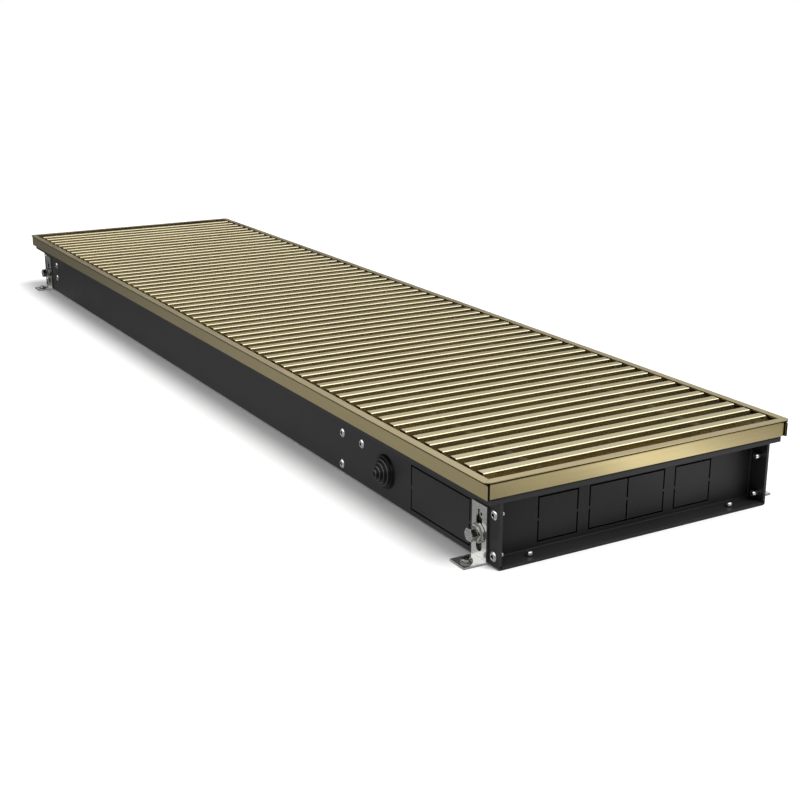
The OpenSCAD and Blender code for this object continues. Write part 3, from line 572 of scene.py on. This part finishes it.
def tail(length):
    """Upset end of a blind rivet, with the broken mandrel's hole in its end."""
    # The mandrel hole's inside takes the black material: painted shade.
    return (
        (SHANK_R, 0, TAIL), (2.2, 0.25, TAIL), (2.3, 0.3 * length, TAIL), (2.2, 0.6 * length, TAIL),
        (2.1, length - 0.7, BODY), (1.9, length - 0.35, BODY), (1.5, length, BODY),
        (1.1, length, BODY), (0.9, length - 0.1, DARK), (0.9, length - 1.6, DARK),
        (0, length - 1.6, DARK))


def build_rivets():
    """Blind rivets with turned heads and upset tails, in the places of the CAD's."""
    for node, name in (("end_rivets", "upset_end_rivets"), ("bracket_rivets", "upset_wall_rivets")):
        rivets = Turned(BRIGHT, PAINTED_SHADE, RIVET_TAIL)
        for low, high in islands(node):
            middle = (low + high) / 2
            if low.z < MM:
                # Through the bottom, set from below with a flush head
                foot = Vector((middle.x, middle.y, low.z + GRIP * MM))
                shank = ((0, -GRIP, TAIL), (SHANK_R, -GRIP, TAIL))
                rivets.add((*shank, *tail(FOLD_TAIL)), foot, (0, 0, 1))
                continue
            out = math.copysign(1, middle.y)
            top = high.y if out > 0 else low.y
            face = Vector((middle.x, top - out * HEAD_HGT * MM, middle.z))
            if node == "end_rivets":
                grip, length = GRIP, EAR_TAIL
            else:
                grip, length = (high.y - low.y) / MM - HEAD_HGT - CAD_TAIL, WALL_TAIL
            rivets.add((*HEAD, (SHANK_R, 0, BODY)), face, (0, out, 0))
            rivets.add(tail(length), face - Vector((0, out * grip * MM, 0)), (0, -out, 0))
        item = rivets.piece(name)
        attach(item, "casing")
        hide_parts(node)


# Grommet, in millimetres from its place at the left wall's face, with the material numbers
# of its bands
MATT, SHINY = 0, 1
GROMMET_PLACE = Vector((351, -115.45, 21.4)) * MM
GROMMET_R = 12.8
GROMMET_STEPS = 5
GROMMET_RISE = 1.92
GROMMET_DROP = 2.3
GROMMET_LIP = 0.575
GROMMET_NECK_R = 9.42
GROMMET_FLANGE_R = 12.2
GROMMET_BORE_R = 7.55
# How far behind the face the inner flange starts and ends
GROMMET_FLANGE = (1.05, 3.05)
# Fillets at the foot of the lowest step and of the others
GROMMET_BASE_FILLET = 0.3
GROMMET_FILLET = 0.25
# The rounded edge of a step, as (distance in, distance down)
GROMMET_ROUND = ((0, 0.55), (0.1, 0.25), (0.28, 0.08), (0.6, 0))


def build_grommet():
    """The stepped grommet with the rounded edges of a moulded one."""
    rise, near, far = GROMMET_RISE, *GROMMET_FLANGE
    outline = [(0, rise * (GROMMET_STEPS - 0.5), MATT)]
    for k in range(GROMMET_STEPS - 1, 0, -1):
        outline += [(max(GROMMET_R - GROMMET_DROP * k - rise, rise / 2), rise * (k - 0.5), MATT)]
    outline += [
        (GROMMET_BORE_R, 0, MATT), (GROMMET_BORE_R, -far, MATT), (GROMMET_FLANGE_R, -far, MATT),
        (GROMMET_FLANGE_R, -near, MATT), (GROMMET_NECK_R, -near, MATT), (GROMMET_NECK_R, 0, MATT)]
    for k in range(GROMMET_STEPS):
        r, low = GROMMET_R - GROMMET_DROP * k, rise * k
        top, edge = low + rise, r - GROMMET_LIP
        if k:
            outline += [(r + GROMMET_FILLET, low, MATT), (r, low + GROMMET_FILLET, MATT)]
        else:
            outline += [(r - GROMMET_BASE_FILLET, low, MATT), (r, low + GROMMET_BASE_FILLET, MATT)]
        for inward, down in GROMMET_ROUND:
            outline += [(edge - inward, top - down, SHINY if k and down else MATT)]
    outline += [(0, rise * GROMMET_STEPS, MATT)]
    turned = Turned(RUBBER, RUBBER_EDGE, sides=56)
    turned.add(outline, GROMMET_PLACE, (0, -1, 0))
    item = turned.piece("rounded_grommet")
    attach(item, "casing")
    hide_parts("cable_grommet")


# Faces of the casing's long walls and of its end walls
SIDE_FACE = 115.4 * MM
END_FACE = 480.8 * MM

# The middle of a flush rivet takes the black material: painted shade.
FLUSH = (
    (0, 0.02, DARK), (1.15, 0.02, DARK), (1.15, 0.25, BODY), (1.4, 0.27, BODY), (1.9, 0.22, BODY),
    (2.5, 0.12, BODY), (3.0, 0, BODY))
FLUSH_ALONG = 0.2 * MM
FLUSH_Z = 31.7 * MM


def build_flush_rivets():
    """Flat rivets in the walls behind the brackets' slots, which show through them."""
    rivets = Turned(FLUSH_BRIGHT, PAINTED_SHADE)
    for low, high in islands("levelling_bolts"):
        middle = (low + high) / 2
        out = math.copysign(1, middle.y)
        rivets.add(FLUSH, (middle.x + FLUSH_ALONG, out * SIDE_FACE, FLUSH_Z), (0, out, 0))
    piece = rivets.piece("flush_rivets")
    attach(piece, "casing")


# Black strips in the slots round the knock-outs, as painted shade. They aren't pieces of the real
# object: the solids' slots are cut right through, and the strips only make them read as black.
STRIP_WID = 1.32 * MM
STRIP_T = 0.15 * MM
STRIP_DEEP = 0.2 * MM
# Knock-outs of an end wall and of a long wall, in millimetres: middles along the wall, height
# of the lower edge, width, height
END_KNOCK_OUTS = ((-58.4, -16.1, 16.1, 58.4), 6.3, 32.2, 31)
SIDE_KNOCK_OUTS = ((424.5,), 5.1, 74, 32.3)


def slot_strips(knock_outs):
    """The four slots round each knock-out of a wall, as (u0, u1, z0, z1) along and up it."""
    middles, z, wid, hgt = knock_outs
    z, wid, hgt, s = z * MM, wid * MM, hgt * MM, STRIP_WID / 2
    strips = []
    for middle in middles:
        u0, u1 = middle * MM - wid / 2, middle * MM + wid / 2
        strips += [
            (u0 - s, u1 + s, z - s, z + s), (u0 - s, u1 + s, z + hgt - s, z + hgt + s),
            (u0 - s, u0 + s, z + s, z + hgt - s), (u1 - s, u1 + s, z + s, z + hgt - s)]
    return strips


def build_shade_strips():
    points, faces = [], []

    def box(low, high):
        n = len(points)
        points.extend(
            (x, y, z)
            for x in (low[0], high[0]) for y in (low[1], high[1]) for z in (low[2], high[2]))
        faces.extend(tuple(n + k for k in quad) for quad in (
            (0, 1, 3, 2), (4, 6, 7, 5), (0, 4, 5, 1), (2, 3, 7, 6), (0, 2, 6, 4), (1, 5, 7, 3)))

    t = STRIP_T / 2
    for end in (-1, 1):
        x = end * (END_FACE - STRIP_DEEP)
        for u0, u1, z0, z1 in slot_strips(END_KNOCK_OUTS):
            box((x - t, u0, z0), (x + t, u1, z1))
    for side in (-1, 1):
        y = side * (SIDE_FACE - STRIP_DEEP)
        for u0, u1, z0, z1 in slot_strips(SIDE_KNOCK_OUTS):
            box((u0, y - t, z0), (u1, y + t, z1))
    mesh = bpy.data.meshes.new("knock_out_shade_strips")
    mesh.from_pydata(points, [], faces)
    mesh.materials.append(PAINTED_SHADE)
    item = add_object("knock_out_shade_strips", mesh)
    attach(item, "casing")


# Studio. Camera and transmission rays see a white world and a pale floor. Reflections see a grey
# studio and a pattern on the floor instead, both fitted to the photograph's tones.
FLOOR_COLOUR = (0.88, 0.88, 0.88, 1)
FLOOR_PLACE = (0, 0, -0.2 * MM)
FLOOR_SIZE = 60
# Level of the world for diffuse rays
AMBIENT = 0.52
# Half the heater's length and about half its width, in metres: the outline that the floor's
# distances are taken from
HALF_LEN = 0.5
HALF_WID = 0.13
# Brightness of the floor in reflections, by the distance from the heater's outline
FLOOR_FAR = ((0.0, 0.34), (0.032, 0.3), (0.07, 0.42), (0.35, 0.5), (1.2, 0.9))
# with this added beside the brackets, by that distance and by |x|
BRACKET_GLOW = ((0.0, 0.14), (0.006, 0.08), (0.014, 0.01), (0.03, 0.0))
BRACKET_ZONE = ((0.38, 0.0), (0.42, 1.0), (0.465, 1.0), (0.478, 0.0))
# and the sum scaled down towards the far end, by x
FAR_END = ((-0.9, 0.3), (0.3, 1.0))
# In front of the near end, a share by x of a glow by y less a plain amount
IN_FRONT = ((0.5, 0.0), (0.54, 1.0), (0.8, 1.0), (1.1, 0.0))
NEAR_DARK = 0.13
NEAR_GLOW = ((-0.09, 0.0), (0.02, 0.3), (0.12, 1.2), (0.2, 0.45), (0.3, 0.0))
# Brightness of the studio in reflections, by the height of the direction
STUDIO = (
    (-1.0, 0.1), (0.0, 0.1), (0.13, 0.06), (0.18, 0.08), (0.23, 0.24), (0.28, 0.5), (0.34, 0.8),
    (0.42, 1.0), (0.52, 1.1), (0.64, 1.45), (0.8, 1.7), (0.93, 1.8), (1.0, 1.6))
# with this added on the grommet's side, by the direction's height, as far as its y says
SIDE = ((0.05, 0.0), (0.2, 0.5), (0.5, 0.5), (0.7, 0.0))
SIDE_TURN = ((-0.45, 1.0), (-0.2, 0.0))


def plane(name, centre, size):
    """A level square of a given size about a centre, made for the floor."""
    half = size / 2
    mesh = bpy.data.meshes.new(name)
    corners = ((-half, -half, 0), (half, -half, 0), (half, half, 0), (-half, half, 0))
    mesh.from_pydata([Vector(centre) + Vector(corner) for corner in corners], [], [(0, 1, 2, 3)])
    item = add_object(name, mesh)
    return item


class Shades(Nodes):
    """The node tree of the floor or the world."""

    def ray(self, name):
        return self.add("ShaderNodeLightPath").outputs["Is %s Ray" % name]

    def curve(self, value, points):
        """A smooth curve through points, each given as (value, result)."""
        low, high = points[0][0], points[-1][0]
        top = max(result for _, result in points)
        place = self.reckon("DIVIDE", self.reckon("SUBTRACT", value, low), high - low)
        ramp = self.add("ShaderNodeValToRGB")
        ramp.color_ramp.interpolation = "EASE"
        while len(ramp.color_ramp.elements) < len(points):
            ramp.color_ramp.elements.new(0.5)
        for element, (at, result) in zip(ramp.color_ramp.elements, points):
            element.position = (at - low) / (high - low)
            element.color = (result / top,) * 3 + (1,)
        self.join(place, ramp.inputs["Fac"])
        return self.reckon("MULTIPLY", ramp.outputs["Color"], top)


def make_floor():
    """A pale floor, which in reflections gives way to the fitted pattern."""
    floor = plane("floor", FLOOR_PLACE, FLOOR_SIZE)
    material = bpy.data.materials.new("pale_floor")
    material.use_nodes = True
    tree = Shades(material.node_tree)
    shader = tree.nodes["Principled BSDF"]
    shader.inputs["Base Color"].default_value = FLOOR_COLOUR
    shader.inputs["Roughness"].default_value = 1.0
    shader.inputs["Specular IOR Level"].default_value = 0.0
    x, y, _ = tree.split(tree.add("ShaderNodeTexCoord").outputs["Object"])
    x_abs, y_abs = tree.reckon("ABSOLUTE", x), tree.reckon("ABSOLUTE", y)
    away_x = tree.reckon("MAXIMUM", tree.reckon("SUBTRACT", x_abs, HALF_LEN), 0)
    away_y = tree.reckon("MAXIMUM", tree.reckon("SUBTRACT", y_abs, HALF_WID), 0)
    squares = (tree.reckon("POWER", away_x, 2), tree.reckon("POWER", away_y, 2))
    away = tree.reckon("SQRT", tree.reckon("ADD", *squares))
    zone = tree.curve(x_abs, BRACKET_ZONE)
    beside = tree.reckon("MULTIPLY", tree.curve(away, BRACKET_GLOW), zone)
    base = tree.reckon("ADD", tree.curve(away, FLOOR_FAR), beside)
    base = tree.reckon("MULTIPLY", base, tree.curve(x, FAR_END))
    glow = tree.reckon("SUBTRACT", tree.curve(y, NEAR_GLOW), NEAR_DARK)
    glow = tree.reckon("MULTIPLY", glow, tree.curve(x, IN_FRONT))
    mirrored = tree.add("ShaderNodeEmission")
    tree.join(tree.reckon("ADD", base, glow), mirrored.inputs["Strength"])
    mix = tree.add("ShaderNodeMixShader")
    tree.join(tree.ray("Glossy"), mix.inputs["Fac"])
    tree.join(shader.outputs[0], mix.inputs[1])
    tree.join(mirrored.outputs[0], mix.inputs[2])
    tree.join(mix.outputs[0], tree.nodes["Material Output"].inputs["Surface"])
    floor.data.materials.append(material)


def make_world():
    """White to the camera, the grey studio in reflections and a plain level to the rest."""
    world = bpy.data.worlds.new("studio")
    world.use_nodes = True
    scene.world = world
    tree = Shades(world.node_tree)
    background = tree.nodes["Background"]
    background.inputs["Color"].default_value = (1, 1, 1, 1)
    _, y, z = tree.split(tree.add("ShaderNodeTexCoord").outputs["Generated"])
    glossy = tree.ray("Glossy")
    seen = tree.reckon("MAXIMUM", tree.ray("Camera"), tree.ray("Transmission"))
    side = tree.reckon("MULTIPLY", tree.curve(z, SIDE), tree.curve(y, SIDE_TURN))
    mirrored = tree.reckon("MULTIPLY", glossy, tree.reckon("ADD", tree.curve(z, STUDIO), side))
    rest = tree.reckon("SUBTRACT", 1, tree.reckon("MAXIMUM", seen, glossy))
    rest = tree.reckon("MULTIPLY", rest, AMBIENT)
    strength = tree.reckon("ADD", tree.reckon("ADD", seen, mirrored), rest)
    tree.join(strength, background.inputs["Strength"])


def sun(name, towards, angle, strength):
    """A distant soft lamp that shines from a direction and shows in no reflection."""
    data = bpy.data.lights.new(name, "SUN")
    data.energy = strength
    data.angle = math.radians(angle)
    lamp = bpy.data.objects.new(name, data)
    lamp.rotation_mode = "QUATERNION"
    lamp.rotation_quaternion = Vector(towards).to_track_quat("Z", "Y")
    lamp.visible_glossy = False
    scene.collection.objects.link(lamp)


def make_lights():
    sun("key", towards=(0.45, 0.16, 0.85), angle=30, strength=2.5)
    sun("top", towards=(0.1, 0.1, 1), angle=60, strength=0.8)


make_camera()
dress_nodes()
build_grille()
build_rivets()
build_grommet()
build_flush_rivets()
build_shade_strips()
make_floor()
make_world()
make_lights()

bpy.context.view_layer.update()
